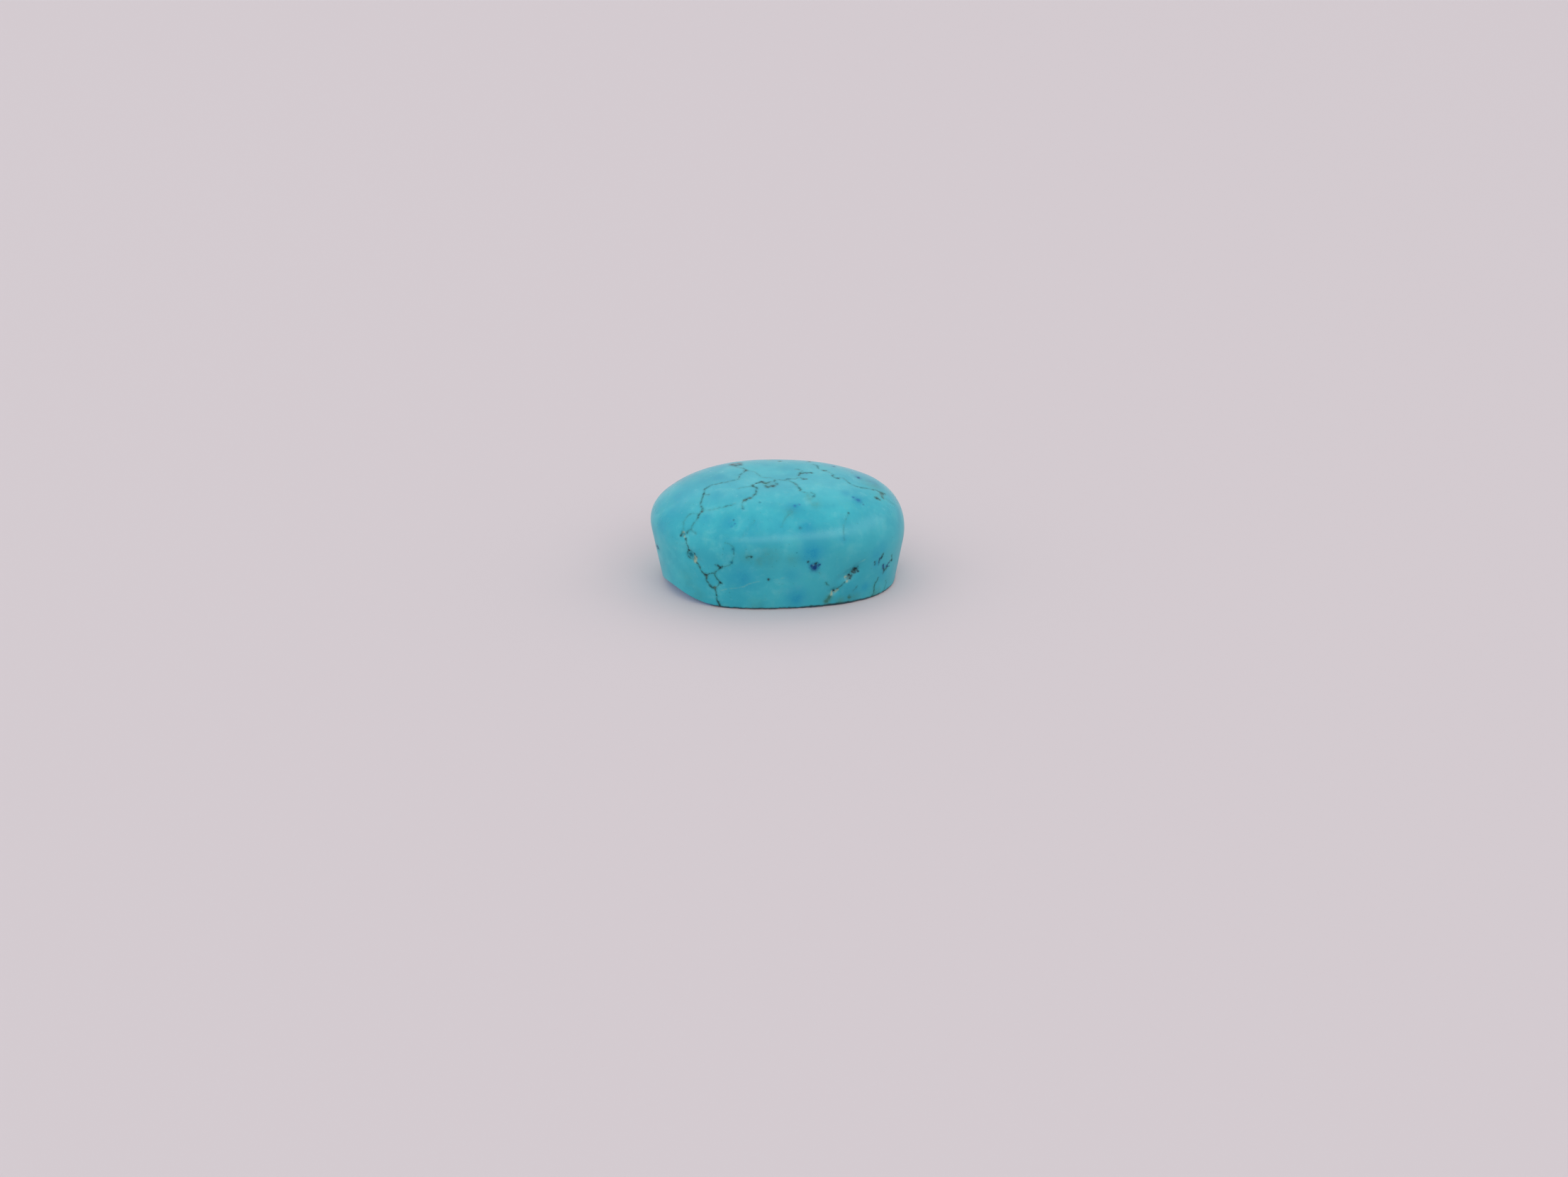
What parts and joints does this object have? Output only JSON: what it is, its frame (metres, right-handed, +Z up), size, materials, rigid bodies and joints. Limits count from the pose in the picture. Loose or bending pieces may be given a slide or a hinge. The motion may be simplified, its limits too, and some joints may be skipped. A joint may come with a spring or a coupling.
{
  "type": "turquoise cabochon",
  "caption": "Cut and polished oval turquoise stone: domed crown, rounded shoulder, leaning side wall and a flat ground base, with brown matrix veins and small pits.",
  "frame": {"origin": "on the plane of the flat base, under the middle of the stone's box", "axes": "+X along the stone's length, +Y towards its back, +Z up, from the base to the crown"},
  "size_m": [0.0178, 0.0126, 0.0077],
  "materials": {
    "turquoise": "smooth satin polish on turquoise blue, with fine brown matrix veins, pale sandy fill in the pits and small dark blue spots"
  },
  "bodies": {
    "root": {"turquoise_stone": "turquoise"}
  },
  "joints": []
}
